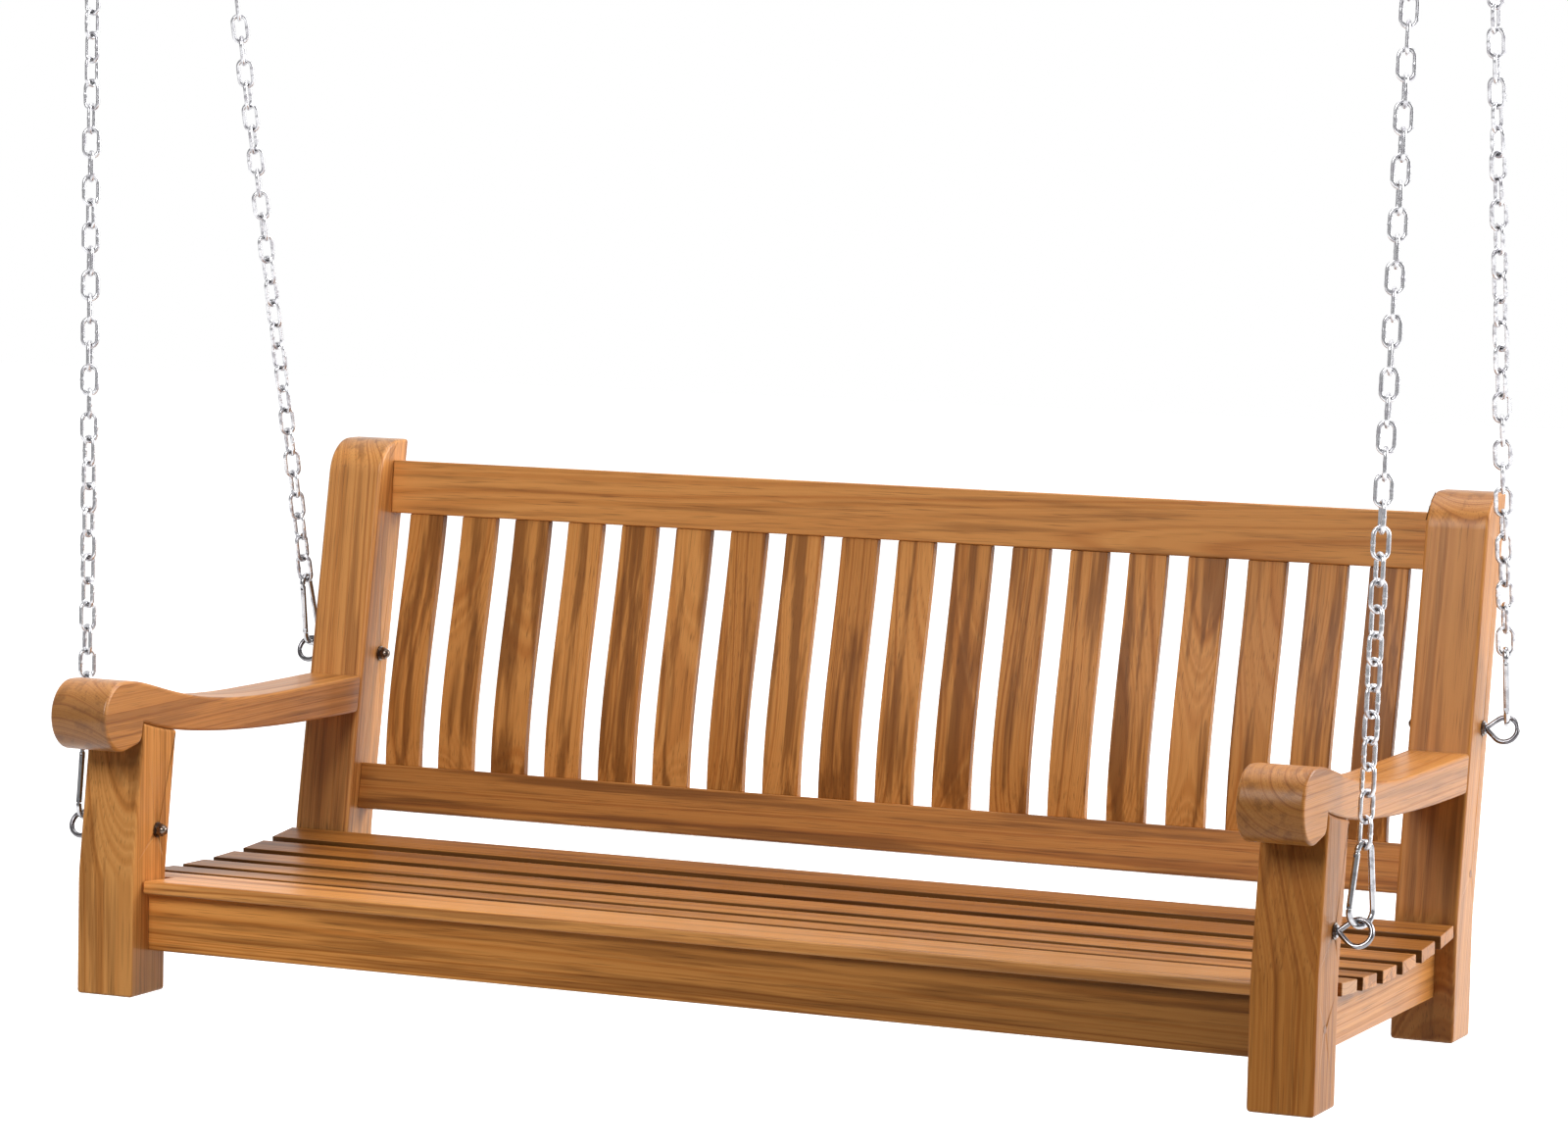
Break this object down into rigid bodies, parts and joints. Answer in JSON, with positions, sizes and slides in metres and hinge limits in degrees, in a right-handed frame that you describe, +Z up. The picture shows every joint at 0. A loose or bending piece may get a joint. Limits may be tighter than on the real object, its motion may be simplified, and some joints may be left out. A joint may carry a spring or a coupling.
{
  "type": "swing bench",
  "caption": "Slatted teak swing bench with a dished seat, a curved slatted back and scrolled arms, hung from four ceiling hooks on chains with snap hooks",
  "frame": {"origin": "middle of the four ceiling studs, in the plane of the ceiling", "axes": "X across the bench with left at -X as seen from the front, Y to the back, Z up"},
  "size_m": [1.623, 0.7452, 1.4435],
  "materials": {
    "teak": "oiled, satin",
    "plug_wood": "oiled, end grain",
    "zinc_chain": "zinc plated, bright",
    "snap_steel": "polished stainless",
    "stainless": "satin stainless"
  },
  "bodies": {
    "ceiling_fittings": {"ceiling_hooks": "stainless", "ceiling_nuts": "stainless", "ceiling_washers": "stainless"},
    "front_chains": {"front_chain_left": "zinc_chain", "front_chain_right": "zinc_chain", "snap_hook_front_left": "snap_steel", "snap_hook_front_right": "snap_steel", "front_gate_rivets": "snap_steel"},
    "rear_chains": {"rear_chain_left": "zinc_chain", "rear_chain_right": "zinc_chain", "snap_hook_rear_left": "snap_steel", "snap_hook_rear_right": "snap_steel", "rear_gate_rivets": "snap_steel"},
    "bench": {"front_post_left": "teak", "front_post_right": "teak", "rear_post_left": "teak", "rear_post_right": "teak", "arm_left": "teak", "arm_right": "teak", "front_apron": "teak", "rear_apron": "teak", "side_rail_left": "teak", "side_rail_right": "teak", "seat_bearer": "teak", "seat_board_front": "teak", "seat_slat_2": "teak", "seat_slat_3": "teak", "seat_slat_4": "teak", "seat_slat_5": "teak", "seat_slat_6": "teak", "top_rail": "teak", "lower_back_rail": "teak", "back_slat_01": "teak", "back_slat_02": "teak", "back_slat_03": "teak", "back_slat_04": "teak", "back_slat_05": "teak", "back_slat_06": "teak", "back_slat_07": "teak", "back_slat_08": "teak", "back_slat_09": "teak", "back_slat_10": "teak", "back_slat_11": "teak", "back_slat_12": "teak", "back_slat_13": "teak", "back_slat_14": "teak", "back_slat_15": "teak", "back_slat_16": "teak", "back_slat_17": "teak", "back_slat_18": "teak", "eye_bolts": "stainless", "dome_nuts": "stainless", "washers": "stainless", "wood_plugs": "plug_wood"},
    "gate_front_left": {"gate_front_left": "snap_steel"},
    "gate_front_right": {"gate_front_right": "snap_steel"},
    "gate_rear_left": {"gate_rear_left": "snap_steel"},
    "gate_rear_right": {"gate_rear_right": "snap_steel"}
  },
  "joints": [
    {"name": "front_swing", "type": "hinge", "parent": "ceiling_fittings", "child": "front_chains", "pos_m": [0, -0.15034, -0.16647], "axis": [1, 0, 0], "range_deg": [-12, 12]},
    {"name": "bench_swing", "type": "hinge", "parent": "front_chains", "child": "bench", "pos_m": [0, -0.28508, -1.13744], "axis": [1, 0, 0], "range_deg": [-7, 7]},
    {"name": "rear_swing", "type": "hinge", "parent": "ceiling_fittings", "child": "rear_chains", "pos_m": [0, 0.15034, -0.064], "axis": [1, 0, 0], "range_deg": [-12, 12]},
    {"name": "gate_front_left_hinge", "type": "hinge", "parent": "front_chains", "child": "gate_front_left", "pos_m": [-0.77713, -0.28491, -1.06778], "axis": [0.9999, 0.0022, 0.0162], "range_deg": [0, 18], "stiffness_Nm_per_rad": 0.3, "springref_deg": -17.19},
    {"name": "gate_front_right_hinge", "type": "hinge", "parent": "front_chains", "child": "gate_front_right", "pos_m": [0.772, -0.2834, -1.06791], "axis": [0.8386, -0.5414, 0.0613], "range_deg": [0, 18], "stiffness_Nm_per_rad": 0.3, "springref_deg": -17.19},
    {"name": "gate_rear_left_hinge", "type": "hinge", "parent": "rear_chains", "child": "gate_rear_left", "pos_m": [-0.77713, 0.24573, -0.9703], "axis": [0.9999, -0.0019, 0.0162], "range_deg": [0, 18], "stiffness_Nm_per_rad": 0.3, "springref_deg": -17.19},
    {"name": "gate_rear_right_hinge", "type": "hinge", "parent": "rear_chains", "child": "gate_rear_right", "pos_m": [0.77972, 0.2461, -0.9703], "axis": [0.9611, 0.2756, 0.0161], "range_deg": [0, 18], "stiffness_Nm_per_rad": 0.3, "springref_deg": -17.19}
  ],
  "couplings": [
    {"joint": "bench_swing", "follows": "front_swing", "ratio": -0.55849},
    {"joint": "rear_swing", "follows": "front_swing", "ratio": 0.95193}
  ]
}
